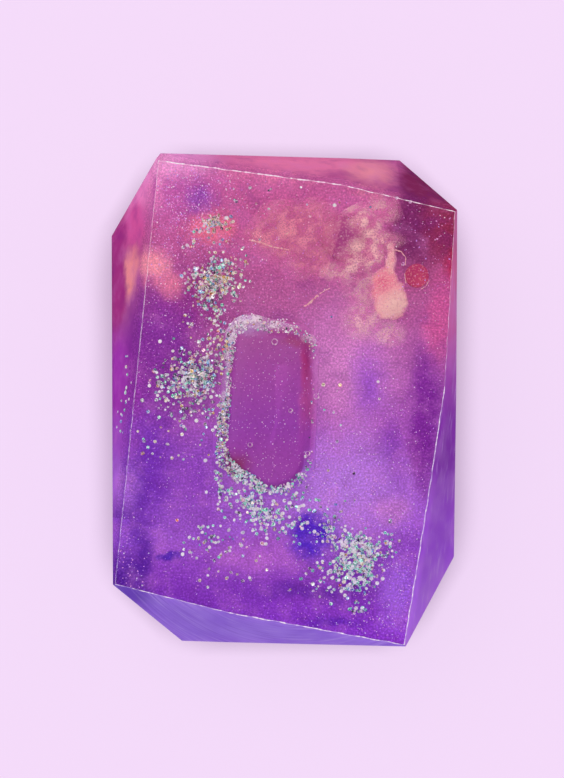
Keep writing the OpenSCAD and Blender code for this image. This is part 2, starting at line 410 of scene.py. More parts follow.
def paint_insert(start):
    """Plum-violet at the front; lower down the walls take up the colours beside them, painted lighter
    to offset the shade on the leaning walls.
    """
    spot = spot_in_mm(start)
    run = spot.vector("ADD", swirl(spot, 2.2, 1.6))
    colour = along_bar(run, INSERT_LENGTH, [
        (0.05, dye(174, 70, 178)), (0.35, dye(166, 66, 184)), (0.6, dye(176, 76, 178)),
        (0.95, dye(186, 88, 166)),
    ])
    beside = along_bar(spot, POURED_LENGTH, POURED)
    for key in ("foot shade", "orchid", "lilac"):
        tint, centre, reach, soft = RUNS[key]
        beside = dab(spot, centre, reach, soft).over(beside, dye(*tint))
    # painted light: the colours beside are made brighter to make up for the shade low on the walls
    beside = beside.vector("SCALE", 1.28)
    colour = spot.axis(2).ease(insert_front - 0.7, insert_front - 1.5).over(colour, beside)
    for tint, centre, reach, soft in [
        ((194, 62, 136), (3.8, 5.4, 26.2), (0.7, 3.8, 3), 0.9),
        ((214, 100, 174), (4.2, -1.4, 26.2), (1.1, 5.0, 3), 0.9),
        ((196, 92, 200), (4.1, -7, 26.2), (1.2, 3.4, 3), 0.9),
        ((176, 72, 136), (2.2, 9.4, 26.4), (2.2, 0.8, 3), 0.7),
        ((172, 74, 182), (-2.2, -11.4, 26.6), (3.6, 3, 3), 0.8),
        ((146, 46, 92), (-7.6, -10.8, 25.4), (2.0, 2.0, 3), 0.8),
        # painted highlight: a pale lavender smear along the top-left corner of the front
        ((204, 160, 214), (-5.8, 12.0, 26.2), (3.2, 1.3, 3), 0.7),
    ]:
        colour = dab(run, centre, reach, soft).over(colour, dye(*tint))
    fleck = spot.node("TexVoronoi", {}, {"Vector": spot, "Scale": 1.5, "Randomness": 1.0})
    colour = (fleck.ease(0.17, 0.06) * 0.6).over(colour, dye(240, 180, 232))
    dust = spot.grain(0.4, 1.0)
    colour = (dust.ease(0.5, 0.3) * 0.2).over(colour, dye(120, 34, 130))
    return {"Base Color": colour}


insert_rings = [
    (1, (insert_front - z) * WALL_LEAN + lip, z) for z, lip in [
        (insert_back, 0), (core_top - 0.1, 0), (core_top + 0.01, 0.75), (core_top + 0.05, 0.7),
        (core_top + 0.09, 0.05), (insert_front - 2.4, 0.08), (insert_front - 1.8, 0.12),
        (insert_front - 0.8, 0.14), (insert_front - 0.3, 0.02), (insert_front - 0.08, -0.2),
        (insert_front, -0.5),
    ]
]
place("insert", cast(INSERT, insert_rings + [(0.6, -0.5, insert_front + 0.02)], wobble=0.16),
      [finish("plum violet soap", paint_insert, Roughness=0.35, Specular_IOR_Level=0.25)],
      "insert_soap", "insert_bar")

# Glitter: hexagonal flakes of holographic polyester film, cut about 0.7 mm
# across. Pinches of it sank in the clear soap, drifting in loose clouds; each
# flake keeps its own tilt and throws its own colour.

FLAKE_GAUGE = 0.03    # thickness of the film
WALL_GAP = 0.45       # how near to the insert's wall a flake may lie
EDGE_GAP = 0.5        # and how near to the edge of the face
CUT_WIDTH = 2.6       # how far past the face the flakes under the left cut lie
CUT_FALL = 2.2        # and how fast they fall away with the cut


def inside_table(x, y):
    """How far a point lies inside the edge of the table face."""
    depths = []
    for a, b in zip(table_corners, table_corners[1:] + table_corners[:1]):
        run = (b - a).normalized()
        depths.append(run.x * (y - a.y) - run.y * (x - a.x))
    return min(depths)


def foil(name, tint, metal=0.55, roughness=0.32, shade=0.35):
    """Holographic film: its colour shifts a little from flake to flake, with painted shade in dark
    patches and painted glints in white ones.
    """
    def paint(start):
        spot = spot_in_mm(start)
        shift = spot.grain(0.9, 1.0, 1).vector("SUBTRACT", (0.5, 0.5, 0.5)).vector("SCALE", 0.35)
        colour = shift.vector("ADD", dye(*tint)[:3])
        # painted shade and painted glints: darker and white patches within each flake
        glint = spot.grain(0.24, 0.0)
        colour = glint.ease(0.48, 0.32).over(colour, colour.vector("SCALE", shade))
        colour = glint.ease(0.54, 0.64).over(colour, dye(255, 254, 255))
        return {"Base Color": colour}
    return finish(name, paint, Metallic=metal, Roughness=roughness, Specular_IOR_Level=0.5)


FOILS = [
    (30, foil("silver foil", (208, 206, 212))), (18, foil("pewter foil", (116, 108, 134))),
    (12, foil("champagne foil", (240, 228, 196))), (12, foil("ice foil", (150, 206, 250))),
    (18, foil("mint foil", (150, 242, 212))), (8, foil("pink foil", (252, 184, 206))),
    (5, foil("gold foil", (250, 214, 140))), (1.5, foil("ember foil", (246, 120, 96))),
    (20, foil("white foil", (254, 252, 254), 0.0, 0.6, 0.75)),
]


def add_flake(form, draw, middle, size, tilt, foils):
    """One hexagonal flake, tipped any way by up to tilt degrees."""
    width = draw.uniform(*size) / 2
    lean = Matrix.Rotation(draw.uniform(0, math.tau), 3, "Z") @ Matrix.Rotation(
        math.radians(draw.uniform(-tilt, tilt)), 3, "X")
    sides = []
    for z in (-FLAKE_GAUGE / 2, FLAKE_GAUGE / 2):
        sides.append([
            form.verts.new((middle + lean @ Vector((
                width * math.cos(math.tau * k / 6), width * math.sin(math.tau * k / 6), z
            ))) * MM) for k in range(6)
        ])
    kind = draw.choices(range(len(foils)), [share for share, _ in foils])[0]
    faces = [form.faces.new(reversed(sides[0])), form.faces.new(sides[1])]
    for k in range(6):
        faces.append(form.faces.new((sides[0][k - 1], sides[0][k], sides[1][k], sides[1][k - 1])))
    for face in faces:
        face.material_index = kind


def sprinkle(name, pinches, slot, nodes, seed, foils=FOILS, size=(0.36, 0.72), tilt=44,
             depth=(0.5, 3.2), beyond=False):
    """A drift of flakes; each pinch is (x, y, spread along x, along y, turn, count).

    With beyond, the flakes lie past the edge of the face, under the left cut.
    """
    draw = random.Random(seed)
    form = bmesh.new()
    for x, y, wide, tall, turn, count in pinches:
        turned = Matrix.Rotation(math.radians(turn), 2)
        laid = 0
        while laid < count:
            spot = Vector((x, y)) + turned @ Vector((draw.gauss(0, wide), draw.gauss(0, tall)))
            below = draw.uniform(*depth)
            wall = outside(INSERT, spot.x, spot.y, 24) - (below - 0.7) * WALL_LEAN
            edge = inside_table(spot.x, spot.y)
            fits = -CUT_WIDTH < edge < -EDGE_GAP if beyond else edge >= EDGE_GAP
            if wall < WALL_GAP or not fits:
                continue
            if beyond:
                below = depth[0] - edge * CUT_FALL
            add_flake(form, draw, Vector((spot.x, spot.y, face_top - below)), size, tilt, foils)
            laid += 1
    return place(name, form, [material for _, material in foils], slot, *nodes, smooth=False)


WARM_FOILS = [(share * (3 if "gold" in m.name or "champagne" in m.name else 1), m)
              for share, m in FOILS]
COOL_FOILS = [(share * (3 if m.name in ("ice foil", "mint foil", "white foil") else 0.8), m)
              for share, m in FOILS]
BRIGHT_FOILS = [(share * (5 if m.name in ("mint foil", "white foil") else 0.7), m)
                for share, m in FOILS]
PALE_FOILS = [(share * (9 if "white" in m.name or "pink" in m.name else 0.3), m)
              for share, m in FOILS]

sprinkle("glitter_gold", [
    (-11, 28.9, 1.3, 0.7, 12, 60), (-13.2, 28, 0.6, 0.5, 0, 8), (-15.2, 25.4, 0.7, 0.4, 20, 7),
    (-10.6, 26.4, 1, 0.8, 0, 6),
], "gold_glitter", ["glitter_drift_gold"], 3, WARM_FOILS)
sprinkle("glitter_upper", [
    (-10.9, 19.0, 1.7, 1.5, -20, 190), (-9.6, 21.2, 1.7, 1.4, 0, 60), (-13.4, 19.6, 1.3, 1.4, 0, 40),
    (-11.6, 14.6, 1.2, 1.4, 0, 46), (-11, 11, 1.4, 1.3, 0, 20), (-7.4, 22.4, 2.6, 2.2, 0, 12),
    (-15.4, 13.4, 0.9, 1.2, 0, 8), (-9.3, 7.8, 0.5, 2.2, 0, 30),
], "silver_glitter", ["glitter_drift_upper"], 5, WARM_FOILS)
sprinkle("glitter_left", [
    (-14.2, 3.2, 1.7, 1.5, 20, 200), (-14.8, 4.4, 2.6, 2.2, 0, 130), (-11.8, 5.2, 1.2, 2.0, 0, 60),
    (-19.4, 2.6, 1.8, 1.4, 0, 34), (-17.2, -1, 2.6, 1.6, 0, 60), (-21, 6, 1.2, 2.6, 0, 7),
    (-11.4, -0.4, 1.0, 2.2, 0, 30),
], "silver_glitter", ["glitter_drift_left"], 7)
sprinkle("glitter_foot", [
    (-5.8, -16.8, 2.0, 1.1, -20, 130), (-2.6, -19.6, 1.8, 1.1, -10, 76), (1.4, -16.8, 1.6, 1.0, 20, 34),
    (-10.2, -14.2, 0.5, 2.2, 8, 26), (-12, -22, 2.4, 1.6, 0, 34), (-4, -23.4, 3.2, 1.2, 0, 16),
    (1.6, -21, 1.6, 1.0, 0, 22),
], "silver_glitter", ["glitter_drift_foot"], 11, BRIGHT_FOILS)
sprinkle("glitter_right", [
    (12.4, -26.8, 1.9, 1.7, 18, 250), (11, -30, 2.0, 1.3, 0, 70), (10.4, -23.6, 2.2, 1.3, -25, 90),
    (16.8, -24.2, 0.9, 1.5, 0, 26), (6.4, -28.4, 1.1, 1.3, 0, 26), (12.4, -34.4, 1.3, 0.9, 0, 16),
    (7, -17, 2, 1.6, 0, 12), (7.6, -21, 0.8, 1.6, 0, 24), (13.4, -24, 1.0, 1.2, 0, 40),
    (11.4, -23.6, 1.5, 0.9, 0, 44),
], "silver_glitter", ["glitter_drift_right"], 13, BRIGHT_FOILS)
sprinkle("flakes_left", [
    (-17, -6, 3.2, 2.0, 0, 18), (-16, -9.4, 3.2, 1.6, 0, 8),
], "silver_glitter", ["loose_flakes_left"], 17, WARM_FOILS)
sprinkle("flakes_side", [
    (-25.8, -0.6, 0.5, 2.0, 0, 13), (-25.6, 5, 0.4, 1.2, 0, 4), (-26.6, -6, 0.4, 2.0, 0, 4),
], "silver_glitter", [], 31, COOL_FOILS, beyond=True)
sprinkle("flakes_foot", [
    (-10, -25.2, 2.6, 1.6, 0, 16), (-8, -29, 4.4, 1.4, 0, 12), (-16, -25.4, 1.0, 0.8, 0, 4),
    (3, -30, 2.4, 1.2, 0, 6),
], "silver_glitter", ["loose_flakes_foot"], 19, WARM_FOILS)
sprinkle("flakes_top", [
    (-3.4, 33.6, 3.4, 1.6, 0, 9), (7.6, 32.4, 3.0, 1.0, 0, 5), (9, -6, 6, 10, 0, 16),
], "silver_glitter", ["loose_flakes_top"], 23)

# Glitter collar: flakes that stuck to the insert's walls while it was laid in,
# thickest on the left and round the foot, few on the bare right wall. A froth
# of pale mica rose round the top and the left; its strongest part, along the
# top-left edge, is also a painted highlight.


def round_insert(share, out):
    """A point out from the insert's front edge, a share of the way round it.

    0 is low on the right wall; the shares run up it and round by the top.
    """
    edge = [rim(INSERT, math.tau * k / 240 - 0.5, out) for k in range(241)]
    steps = [(b - a).length for a, b in zip(edge, edge[1:])]
    left = share * sum(steps)
    for start, end, step in zip(edge, edge[1:], steps):
        if left <= step and step > 0:
            return start.lerp(end, left / step)
        left -= step
    return edge[0]


COLLAR_TILT = 50      # degrees
COLLAR_FALL = 0.8     # how far the collar goes down for each millimetre out

draw = random.Random(29)
form = bmesh.new()
for first, last, near, far, count, size, foils in [     # from share to share, out from near to far
    (0.34, 0.47, 0.6, 3.0, 110, (0.14, 0.32), PALE_FOILS),
    (0.35, 0.47, 0.4, 2.4, 26, (0.36, 0.6), FOILS),
    (0.46, 0.53, 0.2, 2.0, 60, (0.14, 0.3), PALE_FOILS),
    (0.46, 0.53, 0.1, 2.0, 30, (0.36, 0.6), FOILS),
    (0.53, 0.66, 0.3, 1.1, 90, (0.14, 0.3), PALE_FOILS),
    (0.53, 0.66, 0.3, 1.1, 26, (0.3, 0.56), FOILS),
    (0.64, 0.76, 0.1, 2.0, 190, (0.24, 0.54), FOILS),
    (0.75, 0.83, 0.1, 2.5, 130, (0.24, 0.54), WARM_FOILS),
    (0.81, 0.89, 0.1, 2.2, 130, (0.26, 0.6), BRIGHT_FOILS),
    (0.88, 1.0, 0.4, 1.9, 110, (0.26, 0.6), BRIGHT_FOILS),
    (0.0, 0.04, 1.0, 2.0, 10, (0.3, 0.6), BRIGHT_FOILS),
    (0.05, 0.27, 1.5, 2.2, 10, (0.2, 0.45), FOILS),
    (0.27, 0.35, 0.6, 2.2, 44, (0.14, 0.42), WARM_FOILS),
]:
    for _ in range(count):
        out = draw.uniform(near, far)
        edge = round_insert(draw.uniform(first, last), out)
        z = max(insert_front - out * COLLAR_FALL, core_top) + draw.uniform(0.1, 0.5)
        add_flake(form, draw, Vector((edge.x, edge.y, z)), size, COLLAR_TILT, foils)
place("glitter_collar", form, [material for _, material in FOILS], "silver_glitter",
      "glitter_collar", smooth=False)


def strongest(masks):
    """One mask from several: the strongest at each point."""
    most = masks[0]
    for mask in masks[1:]:
        most = most.maths("MAXIMUM", most, mask)
    return most


def veil(name, tint, bright, torn, parts):
    """A film of mica, thinner and torn towards the edges of its parts."""
    def paint(start):
        spot = spot_in_mm(start)
        run = spot.vector("ADD", swirl(spot, 3.2, torn))
        body = strongest([dab(run, centre, reach, 0.75) * strength
                          for centre, reach, strength in parts])
        dust = spot.grain(0.24, 2.0)
        weave = start.node("CombineXYZ", {}, {0: (spot.axis(0) + spot.axis(1)) * 0.3,
                                              1: (spot.axis(0) - spot.axis(1)) * 0.62})
        patch = (weave.grain(1.3, 8.0) * 0.45 + spot.grain(1.6, 8.0) * 0.55).ease(0.36, 0.64)
        colour = (dust * 0.6 + patch * 0.4).ease(0.3, 0.66).over(dye(*tint), dye(*bright))
        thin = (patch * 0.5 + 0.5) * (dust.ease(0.3, 0.6) * 0.6 + 0.5)
        return {"Base Color": colour, "Alpha": body * thin}
    return finish(name, paint, Roughness=0.5, Specular_IOR_Level=0.2)


# The froth's outline, given as the insert's is, a little further out
FROTH = [(-5.3, 9.8, 2.7), (2.4, 8.5, 1.9), (-4.8, -6.2, 4.4), (-1.2, -9.8, 4.1)]
form = cast(FROTH, [(1, out, insert_front - (out + 0.9) * 0.9)
                    for out in (1.5, 0.9, 0.3, -0.3, -0.9)], wobble=0.12)
caps = sorted(form.faces, key=lambda face: face.calc_area())[-2:]
bmesh.ops.delete(form, geom=caps, context="FACES_ONLY")
# the strongest froth dabs, along the top-left edge, are partly pale mica, partly painted highlight
place("collar_froth", form, [veil("froth", (224, 190, 236), (255, 250, 255), 0.6, [
    ((-6.0, 13.2, 26), (2.6, 0.7, 4), 1.7), ((-5, 12.2, 26), (3.2, 1.2, 4), 0.45),
    ((-1.2, 12.3, 26), (3.8, 0.7, 4), 1.0), ((-8.5, 11, 26), (0.7, 2.6, 4), 1.6),
    ((-9.0, 5.4, 26), (0.4, 4.4, 4), 1.0), ((-9.6, -2.2, 26), (0.5, 4.2, 4), 0.8),
    ((-10.4, -8.4, 26), (0.6, 2.4, 4), 0.5), ((-3, -14.9, 26), (5.2, 0.4, 4), 0.5),
    ((3.4, -12.2, 26), (0.4, 2, 4), 0.4), ((4.4, 9.9, 26), (1.4, 0.6, 4), 0.5),
])], "silver_glitter")

# Embeds near the face: a plum disc, a coral teardrop and a red button, each
# cast by hand from tinted soap and set in the clear pour.


def precast(name, tint, patches, shimmer, body=()):
    """Tinted soap with patches of a second dye, thinning to nothing outside its body."""
    def paint(start):
        spot = spot_in_mm(start)
        run = spot.vector("ADD", swirl(spot, 1.6, 2.0))
        paler = dye(*[min(255, part * 1.14) for part in tint])
        colour = (spot.grain(1.1, 3.0).ease(0.3, 0.7) * 0.35).over(dye(*tint), paler)
        for patch, centre, reach, soft in patches:
            colour = dab(run, centre, reach, soft).over(colour, dye(*patch))
        dust = spot.grain(0.32, 1.0)
        colour = (dust.ease(0.5, 0.68) * shimmer).over(colour, dye(255, 222, 206))
        colour = (dust.ease(0.5, 0.28) * (shimmer * 0.5)).over(colour, dye(176, 70, 120))
        if not body:
            return {"Base Color": colour}
        return {"Base Color": colour, "Alpha": strongest([dab(run, *part) for part in body])}
    return finish(name, paint, Roughness=0.45, Specular_IOR_Level=0.2)


plum_low, plum_high = (corner.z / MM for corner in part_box("plum_disc"))
place("plum_disc", cast([(9.6, 26.6, 3.6), (10.4, 25.8, 3.6)], [
    (1, -0.6, plum_low), (1, -0.05, (plum_low + plum_high) / 2 - 0.1),
    (1, -0.05, (plum_low + plum_high) / 2 + 0.1), (1, -0.9, plum_high - 0.12),
    (0.4, -0.9, plum_high),
], wobble=0.3, seed=3),
      [precast("plum soap", (190, 84, 146), [
          ((176, 66, 140), (10.4, 26, 25), (2.4, 2.6, 3), 0.7)], 0.3,
          [((9.9, 26.2, 25), (3.5, 3.7, 3), 0.25)])],
      "plum_soap", "plum_disc")

drop_low, drop_high = (corner.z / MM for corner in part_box("coral_teardrop"))
place("coral_teardrop", cast([(17.6, 16.2, 3.4), (17, 18, 3.2), (17.8, 24, 1.6)], [
    (1, -0.4, drop_low), (1, 0, drop_low + 0.3), (1, 0, drop_high - 0.5),
    (1, -0.3, drop_high - 0.12), (0.5, -0.3, drop_high),
], wobble=0.35, seed=5),
      [precast("coral mica soap", (255, 184, 190), [
          ((240, 106, 146), (16.4, 19.0, 26), (2.3, 2.0, 3), 1.0),
          ((255, 212, 196), (18.2, 15.4, 26), (2.2, 2.0, 3), 1.0)], 0.5,
          [((17.6, 15.9, 26), (2.6, 2.7, 3), 0.2), ((17.1, 17.6, 26), (2.5, 2.3, 3), 0.2),
           ((16.9, 19.0, 26), (1.9, 2.5, 3), 0.25), ((17.7, 22.4, 26), (0.5, 2.8, 3), 0.9)])],
      "coral_mica_soap", "coral_teardrop")

button_low, button_high = (corner.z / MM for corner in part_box("red_button"))
place("red_button", cast([(21.9, 20.2, 1.95)], [
    (1, -0.3, button_low), (1, 0, button_low + 0.3), (1, 0, button_high - 0.25),
    (1, -0.12, button_high - 0.05), (1, -0.3, button_high - 0.03), (0.5, -0.3, button_high - 0.12),
], wobble=0.06, seed=7),
      [precast("red soap", (188, 52, 106), [
          ((206, 66, 112), (22.6, 19.2, 26), (1.2, 1.2, 3), 0.8)], 0.25)],
      "red_soap", "red_button")

# Mica films: bronze-peach mica that floated to the top of the core and was
# caught in the clear pour as thin, torn, wrinkled veils.


def float_film(name, lobes, node, slot, material, seed):
    """A wavy single-ply film under the face, laid over the CAD film's height."""
    low, high = (corner.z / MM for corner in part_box(node))
    form = cast(lobes, [(share, 0, (low + high) / 2)
                        for share in (1, 0.85, 0.7, 0.55, 0.4, 0.25, 0.1)], 64, 0.3, seed)
    rim_face = max(form.faces, key=lambda face: face.calc_area())
    bmesh.ops.delete(form, geom=[rim_face], context="FACES_ONLY")
    return place(name, form, [material], slot, node)


float_film("peach_film", [(-6, 26, 1.2), (-1, 28.4, 4.2), (5, 28.4, 4.6), (4, 22.6, 3.8)],
           "peach_film_left", "peach_mica",
           veil("peach mica", (212, 114, 150), (240, 154, 172), 2.6, [
               ((2.2, 27.4, 26), (5.4, 4.4, 4), 0.95), ((-2.4, 26.6, 26), (3.4, 1.7, 4), 1.0),
               ((4.8, 22.6, 26), (3.8, 2.2, 4), 0.7)]), 11)
float_film("gold_film", [(16.6, 31.8, 2.4), (12, 28, 3.6), (18, 27, 2.8), (9, 20, 3),
                         (13.4, 13.6, 4.6), (18, 11.8, 3.4)],
           "peach_film_right", "gold_mica",
           veil("gold peach mica", (230, 138, 174), (255, 210, 202), 1.4, [
               ((12.8, 29.2, 26), (1.6, 1.9, 4), 1.1), ((14.8, 27.2, 26), (1.5, 1.7, 4), 1.0),
               ((16.6, 26, 26), (2.4, 1.0, 4), 0.95), ((14.4, 24.2, 26), (1.6, 2.3, 4), 1.15),
               ((12, 22.3, 26), (2.4, 1.7, 4), 0.9), ((12.4, 24.6, 26), (1.8, 1.5, 4), 0.8),
               ((9.2, 20.9, 26), (2.4, 1.4, 4), 0.6), ((16.4, 31, 26), (2.2, 1.8, 4), 0.5),
               ((11.6, 31.2, 26), (2, 1.2, 4), 0.5), ((17.5, 23.6, 26), (0.7, 2.6, 4), 0.7),
               ((13.2, 13, 26), (2.8, 2.2, 4), 0.7), ((17.2, 10.6, 26), (2.1, 1.7, 4), 0.6),
               ((13.8, 18, 26), (3.4, 3.4, 4), 0.4)]), 13)

# Crease: a streak of pale mica where a film folded on itself, with the bright
# fold at the front of the peach film beside it.


RIB_STEP = 0.25       # between the ribs of a thread


def streak(form, points, width, z, seed):
    """A thin ragged thread of mica along some points."""
    draw = random.Random(seed)
    ribs = []
    for a, b in zip(points, points[1:]):
        steps = max(2, round((Vector(b) - Vector(a)).length / RIB_STEP))
        for k in range(steps):
            ribs.append(Vector(a).lerp(Vector(b), k / steps))
    ribs.append(Vector(points[-1]))
    last = None
    for k, point in enumerate(ribs):
        ahead = (ribs[min(k + 1, len(ribs) - 1)] - ribs[max(k - 1, 0)]).normalized()
        side = Vector((-ahead.y, ahead.x)) * width * draw.uniform(0.25, 1) / 2
        wander = Vector((draw.uniform(-1, 1), draw.uniform(-1, 1))) * width * 0.2
        rib = [form.verts.new(Vector((spot.x, spot.y, z + lift)) * MM) for spot, lift in (
            (point + wander - side, 0), (point + wander, width * 0.4), (point + wander + side, 0))]
        if last:
            form.faces.new((last[0], last[1], rib[1], rib[0]))
            form.faces.new((last[1], last[2], rib[2], rib[1]))
        last = rib


def paint_thread(start):
    """Peach mica, mottled with pale gold."""
    gold = spot_in_mm(start).grain(0.3, 2.0).ease(0.3, 0.7)
    return {"Base Color": gold.over(dye(240, 150, 170), dye(255, 226, 208))}


crease_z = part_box("peach_crease")[1].z / MM
form = bmesh.new()
for seed, points, width in [
    (31, [(3.5, 15.2), (4.6, 15.9), (5.8, 17)], 0.42),
    (32, [(6, 17.2), (7, 17.8), (7.8, 18.2)], 0.2),
    (33, [(-5.5, 26), (-3.6, 25.6), (-1.6, 24.9), (1, 24.4)], 0.34),
    (34, [(0.4, 26.9), (1.6, 27.6)], 0.2),
    (35, [(18.3, 24.4), (19.4, 24.1), (20.1, 23.2), (20, 21.9)], 0.24),
    (36, [(19.9, 20.6), (20.1, 19)], 0.16),
    (37, [(22.6, 18), (23.4, 18.5), (23.9, 19.4)], 0.16),
]:
    streak(form, points, width, crease_z, seed)
place("pale_crease", form, [finish("pale mica", paint_thread, Roughness=0.4)], "pale_mica",
      "peach_crease")

# Shimmer: the finest mica, which hangs in the clear soap just under the face
# and is thickest at the rose end's left corner and the crimson corner.


def paint_mica(tint):
    """Mica of one tint, paler here and there."""
    def paint(start):
        pale = spot_in_mm(start).grain(1.5, 1.0).ease(0.3, 0.7)
        return {"Base Color": pale.over(dye(*tint), dye(*[min(255, part + 26) for part in tint]))}
    return paint


draw = random.Random(41)
form = bmesh.new()
for where, spread, count, size in [     # no spread: evenly over the whole face
    ((0, 0), None, 2200, (0.08, 0.18)), ((-15, 31), (5, 7), 900, (0.1, 0.24)),
    ((24, 27), (2.6, 4.6), 34, (0.14, 0.34)), ((-14, 12), (7, 9), 500, (0.1, 0.2)),
    ((8, -16), (11, 12), 900, (0.1, 0.22)), ((-25, -27), (1.6, 3), 34, (0.12, 0.26)),
    ((17, -30), (4, 7), 320, (0.1, 0.22)),
]:
    laid = 0
    while laid < count:
        if spread:
            spot = Vector((draw.gauss(where[0], spread[0]), draw.gauss(where[1], spread[1])))
        else:
            spot = Vector((draw.uniform(-28, 28), draw.uniform(-40, 40)))
        if inside_table(spot.x, spot.y) < 0.3:
            continue
        half = draw.uniform(*size) / 2
        depth = draw.uniform(0.15, 0.85)
        lean = Matrix.Rotation(draw.uniform(0, math.tau), 3, "Z") @ Matrix.Rotation(
            draw.uniform(-0.8, 0.8), 3, "X")
        middle = Vector((spot.x, spot.y, face_top - depth))
        corners = [form.verts.new((middle + lean @ (Vector((u, v, 0)) * half)) * MM)
                   for u, v in ((-1, -0.6), (0.9, -0.8), (1, 0.7), (-0.7, 1))]
        form.faces.new(corners).material_index = draw.choices((0, 1, 2), (5, 3, 2))[0]
        laid += 1
place("fine_shimmer", form, [
    finish("pink mica", paint_mica((226, 150, 214)), Roughness=0.4),
    finish("lilac mica", paint_mica((196, 136, 226)), Roughness=0.4),
    finish("white mica", paint_mica((246, 226, 240)), Roughness=0.4),
], "pale_mica", smooth=False)

# Clear overpour: a block of clear glycerine soap over the core, trimmed with a
# knife into facets. The face and two cuts were wiped clear; the foot cut is
# satin, the right cut scratched, and the cuts round the back are cloudy.

SKIN = 0.12           # rounding of the cut edges


def lamps_through(material):
    """Lets the lamps shine through clear soap on to what is cast in it."""
    tree = material.node_tree
    start = Wire(tree)
    shader = tree.nodes["Principled BSDF"].outputs[0]
    shadow = start.node("LightPath", {}, {}, 1)
    pass_on = start.node("BsdfTransparent", {}, {"Color": (0.96, 0.93, 0.97, 1)})
    both = start.node("MixShader", {}, {0: shadow, 1: Wire(tree, shader), 2: pass_on})
    tree.links.new(both.port, tree.nodes["Material Output"].inputs["Surface"])
    return material


def paint_clear(start):
    """Wiped smooth, a little uneven."""
    spot = spot_in_mm(start)
    return {"Roughness": spot.grain(5, 2.0).ease(0.2, 0.9) * 0.05 + 0.02}


def paint_satin(start):
    """Knife drag: fine curved lines across the cut, over a lavender bloom."""
    spot = spot_in_mm(start)
    arc = spot.vector("MULTIPLY", (1, 1, 0)).vector("SUBTRACT", (2.5, -10, 0)).vector("LENGTH")
    lines = start.node("CombineXYZ", {}, {0: arc * 4.5, 1: spot.axis(0) * 0.16}).grain(1.0, 4.0)
    cloud = spot.grain(6, 3.0)
    colour = cloud.ease(0.3, 0.7).over(dye(158, 118, 234), dye(174, 138, 244))
    colour = dab(spot, (-25, -31, 22), (4, 3, 12), 0.6).over(colour, dye(112, 74, 196))
    colour = (lines.ease(0.5, 0.72) * 0.5).over(colour, dye(206, 182, 250))
    colour = (lines.ease(0.5, 0.3) * 0.4).over(colour, dye(120, 80, 202))
    bump = start.node("Bump", {}, {"Strength": 0.25, "Distance": 0.0001, "Height": lines})
    return {"Base Color": colour, "Normal": bump}


def paint_scratched(start):
    """Bloom left by a dragging blade, in long scratches down the side."""
    spot = spot_in_mm(start)
    long = spot.vector("MULTIPLY", (2.2, 0.09, 1.6)).grain(1.0, 5.0)
    colour = along_bar(spot, POURED_LENGTH, [
        (0.06, dye(196, 130, 246)), (0.2, dye(176, 96, 232)), (0.3, dye(170, 90, 222)),
        (0.38, dye(146, 58, 190)), (0.46, dye(150, 60, 190)), (0.55, dye(180, 84, 192)),
        (0.64, dye(208, 116, 182)), (0.74, dye(220, 116, 168)),
    ])
    colour = (spot.grain(4, 2.0).ease(0.35, 0.7) * 0.25).over(colour, dye(214, 160, 236))
    colour = (long.ease(0.52, 0.8) * 0.6).over(colour, dye(222, 180, 246))
    return {"Base Color": colour, "Roughness": long.ease(0.4, 0.7) * 0.2 + 0.3}


def paint_back(start):
    """Cloudy with bloom, in the colours of the pours."""
    return {"Base Color": along_bar(spot_in_mm(start), POURED_LENGTH, POURED)}


clear = lamps_through(finish("clear soap", paint_clear, Base_Color=(1, 0.97, 1, 1), IOR=1.44,
                             Transmission_Weight=1.0, Specular_IOR_Level=0.3))
satin = lamps_through(finish("satin knife cut", paint_satin, Roughness=0.42, IOR=1.3,
                             Transmission_Weight=0.3, Specular_IOR_Level=0.3))
scratched = lamps_through(finish("scratched knife cut", paint_scratched, IOR=1.3,
                                 Transmission_Weight=0.4, Specular_IOR_Level=0.3))
back = lamps_through(finish("bloomed back cut", paint_back, Roughness=0.5, IOR=1.3,
                            Transmission_Weight=0.2, Specular_IOR_Level=0.2))

form = bmesh.new()
for vertex in block:
    form.verts.new(vertex.co)
bmesh.ops.remove_doubles(form, verts=form.verts, dist=0.02 * MM)
bmesh.ops.convex_hull(form, input=form.verts)
bmesh.ops.delete(form, geom=[v for v in form.verts if not v.link_faces], context="VERTS")
bmesh.ops.dissolve_limit(form, angle_limit=math.radians(0.6), verts=form.verts, edges=form.edges)
bmesh.ops.recalc_face_normals(form, faces=form.faces)
for face in form.faces:
    away = face.normal
    if 0.1 < away.z < 0.9 and away.y < -0.5:        # the foot cut
        face.material_index = 1
    elif 0.1 < away.z < 0.9 and away.x > 0.6:       # the right cut
        face.material_index = 2
    elif away.z < -0.1:                             # the cuts round the back
        face.material_index = 3
bmesh.ops.bevel(form, geom=list(form.edges), offset=SKIN * MM, segments=2, profile=0.6,
                affect="EDGES", clamp_overlap=True, material=-1)
place("clear_soap", form, [clear, satin, scratched, back], "clear_soap", "clear_overpour",
      smooth=False)

# Bubbles: air caught under the skin of the clear soap as it set. Each is drawn
# as a solid pale ring, a painted highlight of the light on its rim, thicker on
# the side where it catches the light.

BUBBLE_DEPTH = 0.55

